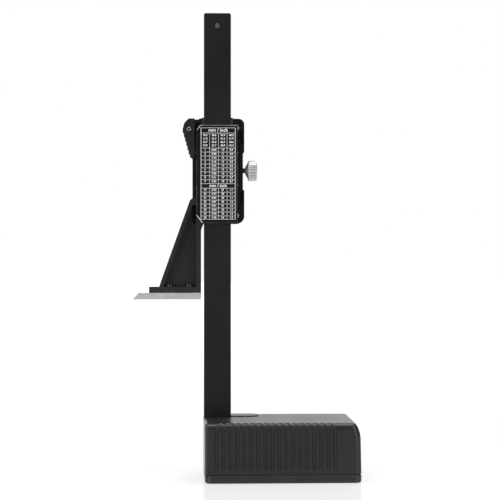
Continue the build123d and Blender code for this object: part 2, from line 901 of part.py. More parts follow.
def thumb_x(z):
    """The x of the middle of the thumb wall, at height z below the hip."""
    return lever_left + lever_thumb_wall / 2 + (hip_z - z) * thumb_run.X / -thumb_run.Y


serration_lift = serration_radius - serration_depth
serration_steps = [serration_start + step * serration_pitch for step in range(serration_count)]

with BuildPart() as brake_lever:
    with BuildSketch(plane_at_y(lever_front)):
        lever_outline()
        fillet(vertices().group_by(Axis.Y)[-1].sort_by(Axis.X)[0], radius=lever_crown_radius)
    extrude(amount=lever_width)
    # serrations down the thumb face
    with BuildSketch(plane_at_y(lever_front)):
        with Locations(
            *[
                (
                    lever_left + thumb_along.X * step + serration_lift * thumb_along.Y,
                    hip_z + thumb_along.Y * step - serration_lift * thumb_along.X,
                )
                for step in serration_steps
            ]
        ):
            Circle(serration_radius)
    extrude(amount=lever_width, mode=Mode.SUBTRACT)
    # hollow between the cheeks
    with BuildSketch(plane_at_y(lever_front - lever_cheek)):
        lever_outline()
        offset(amount=-lever_thumb_wall, mode=Mode.REPLACE)
        box_between(pin_x + lever_face / 2, lever_right + cut_over, tail_z, pin_z + lug_radius + cut_over)
    extrude(amount=lever_width - 2 * lever_cheek, mode=Mode.SUBTRACT)
    # brake nose
    nose_low = nose_z - nose_height / 2
    nose_high = nose_z + nose_height / 2
    with BuildSketch(plane_at_y(nose_y + nose_thickness / 2)):
        Polygon(
            (thumb_x(nose_low), nose_low),
            (column_left - nose_gap, nose_low),
            (column_left - nose_gap, nose_high),
            (thumb_x(nose_high), nose_high),
            align=None,
        )
    extrude(amount=nose_thickness)
    # pin holes
    with BuildSketch(plane_at_y(lever_front)):
        with Locations((pin_x, pin_z)):
            Circle(lever_pin_radius + seat_gap)
    extrude(amount=lever_width, mode=Mode.SUBTRACT)
    with BuildSketch(plane_at_y(lever_rear + lever_pin_recess_depth)):
        with Locations((pin_x, pin_z)):
            Circle(lever_pin_recess)
    extrude(amount=lever_pin_recess_depth, mode=Mode.SUBTRACT)

with BuildPart() as lever_pin:
    with BuildSketch(plane_at_y(lever_front)):
        with Locations((pin_x, pin_z)):
            Circle(lever_pin_radius)
    extrude(amount=lever_width)
    with BuildSketch(plane_at_y(lever_rear + lever_pin_bore_depth)):
        with Locations((pin_x, pin_z)):
            Circle(lever_pin_bore)
    extrude(amount=lever_pin_bore_depth, mode=Mode.SUBTRACT)

with BuildPart() as lever_spring:
    spring_x = pin_x + spring_root_right
    with BuildSketch(plane_at_y(strip_mid + lug_thickness / 2)):
        with BuildLine():
            Polyline(
                (spring_x, lever_zone - spring_root_depth),
                (spring_x + spring_thickness, lever_zone - spring_root_depth),
                (spring_x + spring_thickness, lever_zone + spring_straight),
                (spring_x + spring_thickness - spring_lean, lever_zone + spring_rise),
                (spring_x - spring_lean, lever_zone + spring_rise),
                (spring_x, lever_zone + spring_straight),
                close=True,
            )
        make_face()
    extrude(amount=spring_width)

# ------------------------------------------------------------------ bracket and scriber
slant_slope = (bracket_slant_foot - bracket_slant_top) / (
    bracket_top_z - bracket_shoulder - foot_high
)
pocket_top = bracket_top_z - bracket_bridge
pocket_foot_x = column_left - bracket_slant_foot + bracket_slant_rib
pocket_top_x = pocket_foot_x + slant_slope * (pocket_top - foot_high)

with BuildPart() as scriber_bracket:
    with BuildSketch(plane_at_y(bracket_front)):
        with BuildLine():
            Polyline(
                (column_left - bracket_foot_left, foot_low),
                (rib_right, foot_low),
                (rib_right, slider_bottom - bracket_gusset),
                (column_left - part_gap, slider_bottom - tiny),
                (column_left - part_gap, slider_bottom),
                (left_wall_inner, slider_bottom),
                (left_wall_inner, bracket_top_z),
                (column_left - bracket_slant_top + bracket_shoulder_run, bracket_top_z),
                (column_left - bracket_slant_top, bracket_top_z - bracket_shoulder),
                (column_left - bracket_slant_foot, foot_high),
                (column_left - bracket_foot_left, foot_high),
                close=True,
            )
        make_face()
    extrude(amount=bracket_depth)
    # pocket that leaves ribs all round and a web at the front
    with BuildSketch(plane_at_y(bracket_front - bracket_web)):
        with BuildLine():
            Polyline(
                (pocket_foot_x, foot_high),
                (rib_left, foot_high),
                (rib_left, pocket_top),
                (pocket_top_x, pocket_top),
                close=True,
            )
        make_face()
        fillet(vertices(), radius=bracket_pocket_radius / 2)
    extrude(amount=bracket_depth - bracket_web, mode=Mode.SUBTRACT)
    # lap over the carriage's front wall
    with BuildSketch(plane_at_y(bracket_front)):
        box_between(
            slider_left, column_left, slider_bottom, bracket_top_z + cut_over
        )
    extrude(amount=bracket_front - channel_front, mode=Mode.SUBTRACT)
    with Locations(*rear_spots(bracket_screw_spots, carriage_rear)):
        flush_screw_hole(
            slider_screw_radius, slider_screw_head, slider_screw_head_height, bracket_screw_length
        )
    with Locations(
        *[(x, scriber_screw_y, foot_high) for x in scriber_screw_xs]
    ):
        Cylinder(
            scriber_screw_radius + seat_gap, bracket_foot, align=hang, mode=Mode.SUBTRACT
        )

with BuildPart() as bracket_screws:
    with Locations(*rear_spots(bracket_screw_spots, carriage_rear)):
        flush_screw(
            slider_screw_radius, slider_screw_head, slider_screw_head_height, bracket_screw_length
        )

scriber_low = foot_low - scriber_thickness
scriber_mid_y = carriage_rear + bracket_depth / 2

with BuildPart() as scriber:
    with BuildSketch(plane_at_y(scriber_mid_y + scriber_width / 2)):
        with BuildLine():
            Polyline(
                (column_left - scriber_left, scriber_low),
                (rib_right, scriber_low),
                (rib_right, foot_low),
                (column_left - scriber_left + scriber_bevel, foot_low),
                close=True,
            )
        make_face()
    extrude(amount=scriber_width)
    with Locations(
        *[(x, scriber_screw_y, foot_low) for x in scriber_screw_xs]
    ):
        Cylinder(
            scriber_screw_radius + seat_gap, scriber_screw_bite, align=hang, mode=Mode.SUBTRACT
        )

with BuildPart() as scriber_screws:
    with Locations(
        *[(x, scriber_screw_y, foot_high) for x in scriber_screw_xs]
    ):
        Cylinder(
            scriber_screw_radius, bracket_foot + scriber_screw_bite - seat_gap, align=hang
        )
        Cylinder(scriber_screw_head, scriber_screw_head_height, align=stand)

# ------------------------------------------------------------------ display housing
cell_hole = cell_radius + cell_gap

with BuildPart() as display_housing:
    with BuildSketch(plane_at_y(housing_front)):
        slider_outline()
    extrude(amount=housing_depth)
    fillet(faces().sort_by(Axis.Y)[-1].edges(), radius=housing_front_edge)
    # hollow from the rear, with a floor behind the lever left closed
    with BuildSketch(plane_at_y(housing_inner)):
        slider_outline()
        offset(amount=-housing_wall, mode=Mode.REPLACE)
    extrude(
        amount=housing_depth - housing_wall - housing_lever_floor, mode=Mode.SUBTRACT
    )
    with BuildSketch(plane_at_y(carriage_front + housing_lever_floor)):
        slider_outline()
        offset(amount=-housing_wall, mode=Mode.REPLACE)
        box_between(
            slider_left - cut_over, recess_x, lever_zone, slider_top + cut_over, mode=Mode.SUBTRACT
        )
    extrude(amount=housing_lever_floor, mode=Mode.SUBTRACT)
    # battery bay floor
    with BuildSketch(plane_at_y(housing_inner)):
        box_between(
            display_x - door_width / 2 - door_tongue - housing_wall,
            display_x + door_width / 2 + door_tongue + housing_wall,
            slider_bottom,
            door_top + housing_wall,
        )
    extrude(amount=door_thickness + door_floor - housing_wall)
    # screw posts
    with BuildSketch(plane_at_y(housing_inner)):
        with Locations(*housing_screw_spots):
            Circle(post_radius)
    extrude(amount=housing_inner - carriage_front)
    with BuildSketch(plane_at_y(carriage_front + housing_screw_grip + seat_gap)):
        with Locations(*housing_screw_spots):
            Circle(slider_screw_radius + seat_gap)
    extrude(amount=housing_screw_grip + seat_gap, mode=Mode.SUBTRACT)
    # display opening and the step that holds its window
    with BuildSketch(plane_at_y(housing_front)):
        with Locations((display_x, lcd_mid_z)):
            Rectangle(view_width, view_height)
    extrude(amount=housing_wall, mode=Mode.SUBTRACT)
    with BuildSketch(plane_at_y(housing_front)):
        with Locations((display_x, lcd_mid_z)):
            RectangleRounded(
                window_width + 2 * window_gap, window_height + 2 * window_gap, window_corner_radius
            )
    extrude(amount=window_thickness, mode=Mode.SUBTRACT)
    # button holes
    with BuildSketch(plane_at_y(housing_front)):
        with Locations(*[(x, button_z) for x in button_xs]):
            Circle(button_radius + button_gap)
    extrude(amount=housing_wall, mode=Mode.SUBTRACT)
    # battery door's channel with its two grooves, and the cell's hole
    with BuildSketch(plane_at_y(housing_front)):
        box_between(
            display_x - door_width / 2 - door_gap,
            display_x + door_width / 2 + door_gap,
            slider_bottom - cut_over,
            door_top + door_gap,
        )
    extrude(amount=door_thickness + door_gap, mode=Mode.SUBTRACT)
    with BuildSketch(plane_at_y(door_rear + door_tongue_thickness + door_gap)):
        box_between(
            display_x - door_width / 2 - door_tongue - door_gap,
            display_x + door_width / 2 + door_tongue + door_gap,
            slider_bottom - cut_over,
            door_top + door_gap,
        )
    extrude(amount=door_tongue_thickness + 2 * door_gap, mode=Mode.SUBTRACT)
    with BuildSketch(plane_at_y(housing_inner)):
        with Locations((display_x, cell_z)):
            Circle(cell_hole)
    extrude(amount=housing_inner - cell_rear, mode=Mode.SUBTRACT)

with BuildPart() as display_window:
    with BuildSketch(plane_at_y(housing_front)):
        with Locations((display_x, lcd_mid_z)):
            RectangleRounded(window_width, window_height, window_corner_radius)
    extrude(amount=window_thickness)

with BuildPart() as lcd_glass:
    with BuildSketch(plane_at_y(housing_inner)):
        with Locations((display_x, lcd_mid_z)):
            Rectangle(lcd_width, lcd_height)
    extrude(amount=lcd_thickness)

with BuildPart() as elastomer_strip:
    with BuildSketch(plane_at_y(housing_inner - lcd_thickness)):
        with Locations((display_x, lcd_mid_z - lcd_height / 2 + rubber_width)):
            Rectangle(min(rubber_length, board_width), rubber_width)
    extrude(amount=housing_inner - lcd_thickness - carriage_front - board_thickness)

with BuildPart() as circuit_board:
    with BuildSketch(plane_at_y(carriage_front + board_thickness)):
        box_between(
            display_x - board_width / 2,
            display_x + board_width / 2,
            slider_bottom + board_low,
            slider_top - board_drop,
        )
    extrude(amount=board_thickness)

with BuildPart() as button_domes:
    with BuildSketch(plane_at_y(carriage_front + board_thickness + dome_height)):
        with Locations(*[(x, button_z) for x in button_xs]):
            Circle(dome_radius)
    extrude(amount=dome_height)
    chamfer(faces().sort_by(Axis.Y)[-1].edges(), length=dome_height / 2)

button_names = ["zero_button", "power_button", "unit_button"]
dome_top = carriage_front + board_thickness + dome_height
buttons = []
for button_x in button_xs:
    with BuildPart() as button:
        with BuildSketch(plane_at_y(housing_front + button_proud)):
            with Locations((button_x, button_z)):
                Circle(button_radius)
        extrude(amount=button_proud + housing_wall + button_gap)
        with BuildSketch(plane_at_y(housing_inner - button_gap)):
            with Locations((button_x, button_z)):
                Circle(button_flange_radius)
        extrude(amount=button_flange)
        with BuildSketch(plane_at_y(housing_inner - button_gap - button_flange)):
            with Locations((button_x, button_z)):
                Circle(button_stem_radius)
        extrude(
            amount=housing_inner - button_gap - button_flange - dome_top - button_travel - button_gap
        )
        chamfer(faces().sort_by(Axis.Y)[-1].edges(), length=button_proud / 3)
    buttons.append(button)

with BuildPart() as battery_cell:
    with BuildSketch(plane_at_y(cell_rear + cell_thickness)):
        with Locations((display_x, cell_z)):
            Circle(cell_radius)
    extrude(amount=cell_thickness)
    chamfer(edges().filter_by(GeomType.CIRCLE), length=cell_edge)

with BuildPart() as battery_contacts:
    # flat tongue under the cell, soldered to the board's lower end
    with BuildSketch(plane_at_y(carriage_front + board_thickness + contact_thickness)):
        box_between(
            display_x - contact_width / 2,
            display_x + contact_width / 2,
            cell_z - contact_width / 2,
            slider_bottom + board_low + contact_width / 2,
        )
    extrude(amount=contact_thickness)
    # upright spring beside the cell
    with BuildSketch(plane_at_y(carriage_front + board_thickness + contact_thickness)):
        box_between(
            display_x + cell_hole - contact_thickness,
            display_x + cell_hole + contact_thickness,
            cell_z - contact_width / 2,
            slider_bottom + board_low + contact_width / 2,
        )
    extrude(amount=contact_thickness)

with BuildPart() as battery_door:
    with BuildSketch(plane_at_y(housing_front)):
        box_between(
            display_x - door_width / 2, display_x + door_width / 2, slider_bottom, door_top
        )
    extrude(amount=door_thickness)
    with BuildSketch(plane_at_y(door_rear + door_tongue_thickness)):
        box_between(
            display_x - door_width / 2 - door_tongue,
            display_x + door_width / 2 + door_tongue,
            slider_bottom,
            door_top,
        )
    extrude(amount=door_tongue_thickness)
    with BuildSketch(plane_at_x(display_x - door_width / 4)):
        with Locations((housing_front, door_top - 2 * door_grip_pitch - door_grip_pitch)):
            with GridLocations(1, door_grip_pitch, 1, door_grip_count):
                Circle(door_grip_radius)
    extrude(amount=door_width / 2, mode=Mode.SUBTRACT)

# ------------------------------------------------------------------ output
pieces = {
    "base_cover": base_cover,
    "sole_plate": sole_plate,
    "sole_screws": sole_screws,
    "ballast_block": ballast_block,
    "column": column,
    "column_screws": column_screws,
    "scale_strip": scale_strip,
    "scale_film": scale_film,
    "end_stop_screw": end_stop_screw,
    "carriage": carriage,
    "guide_strip": guide_strip,
    "gib_strip": gib_strip,
    "gib_screws": gib_screws,
    "back_cover": back_cover,
    "back_cover_screws": back_cover_screws,
    "thread_table_label": thread_table_label,
    "lock_bush": lock_bush,
    "lock_plug": lock_plug,
    "lock_screw": lock_screw,
    "brake_lever": brake_lever,
    "lever_pin": lever_pin,
    "lever_spring": lever_spring,
    "scriber_bracket": scriber_bracket,
    "bracket_screws": bracket_screws,
    "scriber": scriber,
    "scriber_screws": scriber_screws,
    "display_housing": display_housing,
    "housing_screws": housing_screws,
    "display_window": display_window,
    "lcd_glass": lcd_glass,
    "elastomer_strip": elastomer_strip,
    "circuit_board": circuit_board,
    "button_domes": button_domes,
    "battery_cell": battery_cell,
    "battery_contacts": battery_contacts,
    "battery_door": battery_door,
}
pieces.update(zip(button_names, buttons))

os.makedirs("parts", exist_ok=True)
for piece_name, piece in pieces.items():
    piece.part.label = piece_name
    export_step(piece.part, f"parts/{piece_name}.step")
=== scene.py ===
import math

import bmesh
import bpy
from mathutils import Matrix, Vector


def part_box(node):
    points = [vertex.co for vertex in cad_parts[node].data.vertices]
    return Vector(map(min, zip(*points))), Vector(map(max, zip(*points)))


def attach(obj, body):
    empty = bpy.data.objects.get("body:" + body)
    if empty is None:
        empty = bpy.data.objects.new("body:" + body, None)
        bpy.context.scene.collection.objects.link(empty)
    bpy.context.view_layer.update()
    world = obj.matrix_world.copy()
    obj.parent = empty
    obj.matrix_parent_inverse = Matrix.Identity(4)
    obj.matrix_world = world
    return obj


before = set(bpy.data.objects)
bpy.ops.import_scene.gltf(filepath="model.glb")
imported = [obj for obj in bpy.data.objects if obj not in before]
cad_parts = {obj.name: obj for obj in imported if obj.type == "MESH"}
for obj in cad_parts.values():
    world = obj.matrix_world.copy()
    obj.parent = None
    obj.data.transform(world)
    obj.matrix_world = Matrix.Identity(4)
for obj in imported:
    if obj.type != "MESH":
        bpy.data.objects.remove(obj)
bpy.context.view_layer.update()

MM = 0.001
INCH = 25.4
SKIN = 0.015 * MM              # printed ink stands this far off its surface
REAR, FRONT = -1, 1            # which way a flat piece faces, along Y
NOISE_LOW, NOISE_HIGH = 0.3, 0.7   # most of a noise texture's values lie between these
BEVEL_SAMPLES = 4
BAND_BLEND = 0.02 * MM         # width of the soft border of a band of another colour
# colour of painted shadow, for a band of a coated surface
PAINTED_SHADOW = (0.002, 0.002, 0.002)
# colour of painted shade on bare metal
PAINTED_SHADE_METAL = (0.03, 0.03, 0.032)
WHITE = (1, 1, 1, 1)


# ------------------------------------------------------------------ node helpers
def new_material(name):
    """An empty node material and its Principled shader."""
    material = bpy.data.materials.new(name)
    material.use_nodes = True
    return material, material.node_tree, material.node_tree.nodes["Principled BSDF"]


def object_coordinates(tree, stretch=(1, 1, 1)):
    """The piece's own coordinates, in metres, stretched along each axis."""
    coordinates = tree.nodes.new("ShaderNodeTexCoord")
    mapping = tree.nodes.new("ShaderNodeMapping")
    mapping.inputs["Scale"].default_value = stretch
    tree.links.new(coordinates.outputs["Object"], mapping.inputs["Vector"])
    return mapping.outputs["Vector"]


def noise(tree, scale, detail=3.0, roughness=0.5, stretch=(1, 1, 1)):
    """A noise value; scale is in features per metre."""
    node = tree.nodes.new("ShaderNodeTexNoise")
    node.inputs["Scale"].default_value = scale
    node.inputs["Detail"].default_value = detail
    node.inputs["Roughness"].default_value = roughness
    tree.links.new(object_coordinates(tree, stretch), node.inputs["Vector"])
    return node.outputs["Fac"]


def ramp(tree, value, dark, light):
    """A colour from dark to light over the middle of a noise value's range."""
    node = tree.nodes.new("ShaderNodeValToRGB")
    stops = ((NOISE_LOW, dark), (NOISE_HIGH, light))
    for element, (position, colour) in zip(node.color_ramp.elements, stops):
        element.position = position
        element.color = (*colour, 1)
    tree.links.new(value, node.inputs["Fac"])
    return node.outputs["Color"]


def spread(tree, value, low, high, start=NOISE_LOW, end=NOISE_HIGH):
    """Maps a value from the range start to end onto the range low to high."""
    node = tree.nodes.new("ShaderNodeMapRange")
    node.inputs["From Min"].default_value = start
    node.inputs["From Max"].default_value = end
    node.inputs["To Min"].default_value = low
    node.inputs["To Max"].default_value = high
    tree.links.new(value, node.inputs["Value"])
    return node.outputs["Result"]


def mix(tree, factor, first, second):
    """Mixes two colours, each a socket or three numbers."""
    node = tree.nodes.new("ShaderNodeMix")
    node.data_type = "RGBA"
    tree.links.new(factor, node.inputs["Factor"])
    for name, colour in (("A", first), ("B", second)):
        socket = [s for s in node.inputs if s.name == name and s.type == "RGBA"][0]
        if isinstance(colour, bpy.types.NodeSocket):
            tree.links.new(colour, socket)
        else:
            socket.default_value = (*colour, 1)
    return [s for s in node.outputs if s.type == "RGBA"][0]


def bump(tree, shader, height, strength, distance, rounding=0.0):
    """Bumps the surface by a height value, over edges rounded by a radius in metres."""
    node = tree.nodes.new("ShaderNodeBump")
    node.inputs["Strength"].default_value = strength
    node.inputs["Distance"].default_value = distance
    tree.links.new(height, node.inputs["Height"])
    if rounding:
        edge = tree.nodes.new("ShaderNodeBevel")
        edge.samples = BEVEL_SAMPLES
        edge.inputs["Radius"].default_value = rounding
        tree.links.new(edge.outputs["Normal"], node.inputs["Normal"])
    tree.links.new(node.outputs["Normal"], shader.inputs["Normal"])


def product(tree, first, second):
    """The product of two values."""
    node = tree.nodes.new("ShaderNodeMath")
    node.operation = "MULTIPLY"
    tree.links.new(first, node.inputs[0])
    tree.links.new(second, node.inputs[1])
    return node.outputs["Value"]


def size_of(tree, value):
    """A value without its sign."""
    node = tree.nodes.new("ShaderNodeMath")
    node.operation = "ABSOLUTE"
    tree.links.new(value, node.inputs[0])
    return node.outputs["Value"]


def true_normal(tree):
    """The X, Y and Z parts of the face's own normal."""
    geometry = tree.nodes.new("ShaderNodeNewGeometry")
    split = tree.nodes.new("ShaderNodeSeparateXYZ")
    tree.links.new(geometry.outputs["True Normal"], split.inputs["Vector"])
    return split.outputs


def band(tree, axis, low, high):
    """1 between two places along an axis, in metres, and 0 outside them."""
    split = tree.nodes.new("ShaderNodeSeparateXYZ")
    tree.links.new(object_coordinates(tree), split.inputs["Vector"])
    place = split.outputs[axis]
    rise = spread(tree, place, 0.0, 1.0, start=low - BAND_BLEND, end=low)
    fall = spread(tree, place, 1.0, 0.0, start=high, end=high + BAND_BLEND)
    return product(tree, rise, fall)


# ------------------------------------------------------------------ materials
def coated(name, dark, light, gloss=(0.42, 0.55), grain=900.0, depth=0.02, rounding=0.12,
           specular=0.3, shadow_line=None):
    """A painted or moulded surface: slow tone drift and a fine grain over softened edges.

    depth and rounding are in millimetres; shadow_line is an axis and the two places on it
    between which the surface is painted dark, as painted shadow.
    """
    material, tree, shader = new_material(name)
    drift = noise(tree, 35.0, 4.0, 0.55)
    colour = ramp(tree, drift, dark, light)
    # painted shadow: the band is darkened to stand for shadow
    if shadow_line:
        colour = mix(tree, band(tree, *shadow_line), colour, PAINTED_SHADOW)
    tree.links.new(colour, shader.inputs["Base Color"])
    tree.links.new(spread(tree, drift, *gloss), shader.inputs["Roughness"])
    shader.inputs["Specular IOR Level"].default_value = specular
    bump(tree, shader, noise(tree, grain, 2.0, 0.6), 0.35, depth * MM, rounding * MM)
    return material


def metal(name, dark, light, gloss=(0.28, 0.4), brush=(1, 1, 1), grain=1500.0, depth=0.006,
          rounding=0.12, anisotropy=0.0, blued=None):
    """Bare metal with a brushed or turned grain, stretched along the given axes.

    The last argument is an axis and the two places on it between which the metal is painted dark,
    as painted shade.
    """
    material, tree, shader = new_material(name)
    streaks = noise(tree, grain, 4.0, 0.65, brush)
    colour = ramp(tree, streaks, dark, light)
    # painted shade: a band of the metal darkened to stand for shade
    if blued:
        colour = mix(tree, band(tree, *blued), colour, PAINTED_SHADE_METAL)
    tree.links.new(colour, shader.inputs["Base Color"])
    tree.links.new(spread(tree, streaks, *gloss), shader.inputs["Roughness"])
    shader.inputs["Metallic"].default_value = 1.0
    shader.inputs["Anisotropic"].default_value = anisotropy
    bump(tree, shader, streaks, 0.5, depth * MM, rounding * MM)
    return material


def bevelled_plate(name):
    """The back cover: black satin face, and metal where its bevels were cut, with painted light on
    the cut corners and painted shade on the other bevels.
    """
    material, tree, shader = new_material(name)
    normal = true_normal(tree)
    tilt = size_of(tree, normal["Y"])
    not_flat = spread(tree, tilt, 1.0, 0.0, start=0.8, end=0.9)
    not_side = spread(tree, tilt, 0.0, 1.0, start=0.5, end=0.6)
    bevel = product(tree, not_flat, not_side)
    # painted light and shade: bevels slanting both sideways and up or down take the lit tone, the
    # other bevels the shaded tone
    slant = size_of(tree, product(tree, normal["X"], normal["Z"]))
    lit_corner = spread(tree, slant, 0.0, 1.0, start=0.05, end=0.12)
    grain = noise(tree, 260.0, 3.0, 0.6)
    black = ramp(tree, grain, (0.004, 0.004, 0.0042), (0.007, 0.007, 0.0073))
    shaded_bevel = ramp(tree, grain, (0.07, 0.07, 0.073), (0.12, 0.12, 0.123))
    lit_bevel = ramp(tree, grain, (0.84, 0.84, 0.85), (0.93, 0.93, 0.94))
    bevel_light_and_shade = mix(tree, lit_corner, shaded_bevel, lit_bevel)
    tree.links.new(mix(tree, bevel, black, bevel_light_and_shade), shader.inputs["Base Color"])
    tree.links.new(bevel, shader.inputs["Metallic"])
    tree.links.new(spread(tree, grain, 0.3, 0.42), shader.inputs["Roughness"])
    shader.inputs["Specular IOR Level"].default_value = 0.12
    bump(tree, shader, noise(tree, 2200.0, 2.0), 0.25, 0.01 * MM, 0.08 * MM)
    return material


def ground_sole(name):
    """The sole: black paint round its edge and a ground steel underside."""
    material, tree, shader = new_material(name)
    under = spread(tree, true_normal(tree)["Z"], 1.0, 0.0, start=-0.99, end=-0.96)
    streaks = noise(tree, 900.0, 4.0, 0.65, (0.06, 1, 1))
    steel = ramp(tree, streaks, (0.36, 0.36, 0.37), (0.55, 0.55, 0.56))
    grain = noise(tree, 60.0, 4.0, 0.6)
    paint = ramp(tree, grain, (0.006, 0.006, 0.0062), (0.01, 0.01, 0.0103))
    tree.links.new(mix(tree, under, paint, steel), shader.inputs["Base Color"])
    tree.links.new(under, shader.inputs["Metallic"])
    tree.links.new(spread(tree, grain, 0.32, 0.45), shader.inputs["Roughness"])
    bump(tree, shader, noise(tree, 1200.0, 2.0), 0.3, 0.012 * MM, 0.15 * MM)
    return material


def clear_window(name):
    """The display window: clear acrylic with a faint surface ripple."""
    material, tree, shader = new_material(name)
    shader.inputs["Transmission Weight"].default_value = 1.0
    shader.inputs["IOR"].default_value = 1.45
    ripple = noise(tree, 120.0, 2.0, 0.5)
    tree.links.new(
        ramp(tree, ripple, (0.96, 0.97, 0.97), (1, 1, 1)),
        shader.inputs["Base Color"],
    )
    tree.links.new(spread(tree, ripple, 0.02, 0.05), shader.inputs["Roughness"])
    bump(tree, shader, ripple, 0.05, 0.01 * MM)
    return material


def liquid_crystal(name):
    """The LCD glass: grey-green reflector with a fine cell grain."""
    material, tree, shader = new_material(name)
    grain = noise(tree, 2500.0, 2.0, 0.5)
    drift = noise(tree, 60.0, 3.0, 0.5)
    field = ramp(tree, drift, (0.38, 0.42, 0.34), (0.44, 0.48, 0.39))
    tree.links.new(field, shader.inputs["Base Color"])
    tree.links.new(spread(tree, grain, 0.18, 0.3), shader.inputs["Roughness"])
    bump(tree, shader, grain, 0.1, 0.004 * MM, 0.1 * MM)
    return material


def printed(name, dark, light, gloss=(0.4, 0.5), specular=0.1):
    """Printed ink with slight unevenness."""
    material, tree, shader = new_material(name)
    grain = noise(tree, 1400.0, 3.0, 0.6)
    tree.links.new(ramp(tree, grain, dark, light), shader.inputs["Base Color"])
    tree.links.new(spread(tree, grain, *gloss), shader.inputs["Roughness"])
    shader.inputs["Specular IOR Level"].default_value = specular
    bump(tree, shader, grain, 0.15, 0.004 * MM)
    return material


def laminate(name):
    """Circuit board: green solder resist over traces."""
    material, tree, shader = new_material(name)
    weave = tree.nodes.new("ShaderNodeTexBrick")
    weave.inputs["Scale"].default_value = 420.0
    weave.inputs["Color1"].default_value = (0.02, 0.12, 0.05, 1)
    weave.inputs["Color2"].default_value = (0.025, 0.15, 0.065, 1)
    weave.inputs["Mortar"].default_value = (0.015, 0.09, 0.04, 1)
    tree.links.new(object_coordinates(tree), weave.inputs["Vector"])
    tree.links.new(weave.outputs["Color"], shader.inputs["Base Color"])
    grain = noise(tree, 300.0)
    tree.links.new(spread(tree, grain, 0.25, 0.4), shader.inputs["Roughness"])
    bump(tree, shader, weave.outputs["Fac"], 0.2, 0.01 * MM)
    return material


pin_low, pin_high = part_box("lever_pin")
FINISHES = {
    # painted shadow on the thin band just above the base's top, the low wall of the raised pad
    "base_cover": coated("cover_plastic", (0.014, 0.014, 0.015), (0.019, 0.019, 0.020),
                         gloss=(0.23, 0.31), grain=1600.0, depth=0.012, rounding=0.2,
                         shadow_line=("Z", 34.53 * MM, 34.9 * MM)),
    "sole_plate": ground_sole("sole_finish"),
    "sole_screws": metal("screw_zinc", (0.35, 0.35, 0.36), (0.55, 0.55, 0.56)),
    "ballast_block": metal("ballast_iron", (0.09, 0.09, 0.095), (0.16, 0.16, 0.165),
                           gloss=(0.5, 0.7), grain=700.0, depth=0.03),
    "column": coated("column_coat", (0.006, 0.006, 0.0063), (0.0085, 0.0085, 0.0088),
                     gloss=(0.36, 0.44), grain=2600.0, depth=0.008, rounding=0.1, specular=0.2),
    "scale_strip": laminate("scale_laminate"),
    "scale_film": printed("scale_ground", (0.33, 0.34, 0.35), (0.42, 0.43, 0.44), (0.3, 0.42)),
    "end_stop_screw": metal("stop_steel", (0.15, 0.15, 0.155), (0.24, 0.24, 0.245), (0.25, 0.35)),
    "carriage": coated("carriage_coat", (0.0035, 0.0035, 0.0037), (0.0055, 0.0055, 0.0058),
                       gloss=(0.32, 0.42), grain=1800.0, depth=0.012, specular=0.09),
    "guide_strip": coated("strip_acetal", (0.014, 0.014, 0.014), (0.02, 0.02, 0.02)),
    "gib_strip": coated("gib_coat", (0.02, 0.018, 0.014), (0.03, 0.027, 0.02)),
    "back_cover": bevelled_plate("plate_finish"),
    "thread_table_label": printed("label_black", (0.004, 0.004, 0.004), (0.007, 0.007, 0.007)),
    "lock_bush": metal("bush_brass", (0.5, 0.36, 0.14), (0.68, 0.52, 0.24)),
    # painted shade on the screw's neck, the part left of -20.3 mm along X beside the knob
    "lock_screw": metal("knob_steel", (0.47, 0.47, 0.48), (0.58, 0.58, 0.59), (0.36, 0.5),
                        (1, 0.25, 0.25), anisotropy=0.3, blued=("X", -60 * MM, -20.3 * MM)),
    "brake_lever": coated("lever_coat", (0.008, 0.008, 0.0084), (0.012, 0.012, 0.0126),
                          gloss=(0.34, 0.44), grain=1500.0, depth=0.02, specular=0.22),
    # painted shade on the pin's sides, in its bore and the counterbore's clearance; only its end
    # faces keep the bright steel
    "lever_pin": metal("pin_steel", (0.62, 0.62, 0.63), (0.8, 0.8, 0.81), (0.18, 0.3),
                       blued=("Y", pin_low.y + 0.05 * MM, pin_high.y - 0.05 * MM)),
    "lever_spring": metal("spring_steel", (0.25, 0.27, 0.32), (0.4, 0.42, 0.46)),
    "scriber_bracket": coated("bracket_coat", (0.008, 0.008, 0.0085), (0.013, 0.013, 0.0137),
                              gloss=(0.36, 0.46), grain=1300.0, depth=0.025),
    "scriber": metal("scriber_steel", (0.5, 0.5, 0.51), (0.66, 0.66, 0.67), (0.3, 0.42),
                     (0.08, 1, 1), grain=2200.0, depth=0.004),
    "scriber_screws": metal("scriber_screw_black", (0.02, 0.02, 0.022), (0.05, 0.05, 0.054)),
    "display_housing": coated("housing_plastic", (0.011, 0.011, 0.0115), (0.016, 0.016, 0.017),
                              gloss=(0.36, 0.48), grain=1900.0, depth=0.014),
    "display_window": clear_window("window_acrylic"),
    "lcd_glass": liquid_crystal("lcd_field"),
    "elastomer_strip": coated("elastomer_rubber", (0.03, 0.03, 0.032), (0.06, 0.06, 0.064)),
    "circuit_board": laminate("board_resist"),
    "button_domes": metal("dome_steel", (0.6, 0.6, 0.6), (0.75, 0.75, 0.75)),
    "battery_cell": metal("cell_steel", (0.62, 0.62, 0.62), (0.76, 0.76, 0.76), (0.2, 0.3)),
    "battery_contacts": metal("contact_brass", (0.55, 0.45, 0.2), (0.72, 0.6, 0.32)),
    "battery_door": coated("door_plastic", (0.011, 0.011, 0.0115), (0.016, 0.016, 0.017),
                           gloss=(0.36, 0.48), grain=1900.0, depth=0.014),
    "zero_button": coated("button_red", (0.36, 0.03, 0.02), (0.44, 0.05, 0.035)),
    "power_button": coated("button_grey", (0.2, 0.2, 0.21), (0.26, 0.26, 0.27)),
}
